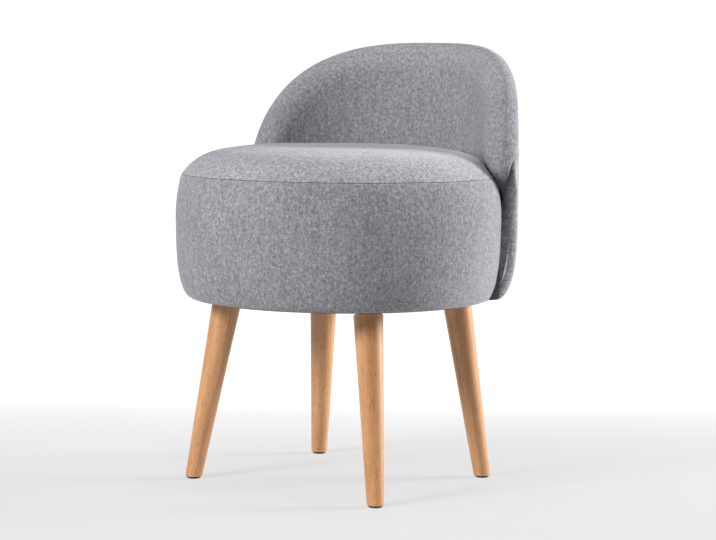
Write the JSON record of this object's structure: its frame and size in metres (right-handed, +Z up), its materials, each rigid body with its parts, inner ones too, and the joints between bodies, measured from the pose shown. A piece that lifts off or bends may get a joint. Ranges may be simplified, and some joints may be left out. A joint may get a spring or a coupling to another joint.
{
  "type": "stool",
  "caption": "Upholstered drum stool with a low padded back that wraps round the rear of a domed round seat, on splayed tapered wooden legs",
  "frame": {"origin": "On the floor, under the middle of the footprint; the drum's own axis stands 10 mm in front of it.", "axes": "+Z up, +Y towards the middle of the back, -Y front, +X to the sitter's left."},
  "size_m": [0.4242, 0.4399, 0.571],
  "materials": {
    "fabric_light": "woven melange, light grey",
    "fabric_side": "woven melange, mid grey",
    "wadding": "white polyester wadding",
    "foam": "cream polyurethane foam, soft",
    "plywood": "bare plywood",
    "hardboard": "bare hardboard",
    "softwood": "planed softwood",
    "dust_cloth": "black non-woven cloth",
    "zinc_steel": "bright zinc plated",
    "beech": "light brown beech, satin lacquer",
    "glide_plastic": "dark grey plastic"
  },
  "bodies": {
    "root": {"seat_top_cover": "fabric_light", "seat_side_cover": "fabric_side", "seat_wadding": "wadding", "seat_foam": "foam", "side_foam": "foam", "seat_board": "plywood", "base_board": "plywood", "drum_skin": "hardboard", "frame_posts": "softwood", "frame_screws": "zinc_steel", "dust_cover": "dust_cloth", "back_board": "plywood", "back_cushion_foam": "foam", "back_outer_foam": "foam", "back_cushion_cover": "fabric_light", "back_outer_panel": "fabric_side", "back_bolts": "zinc_steel", "back_washers": "zinc_steel", "back_nuts": "zinc_steel", "leg_front_left": "beech", "leg_front_right": "beech", "leg_rear_left": "beech", "leg_rear_right": "beech", "leg_plate_front_left": "zinc_steel", "leg_plate_front_right": "zinc_steel", "leg_plate_rear_left": "zinc_steel", "leg_plate_rear_right": "zinc_steel", "glide_front_left": "glide_plastic", "glide_front_right": "glide_plastic", "glide_rear_left": "glide_plastic", "glide_rear_right": "glide_plastic", "hanger_bolts": "zinc_steel", "plate_screws": "zinc_steel"}
  },
  "joints": []
}
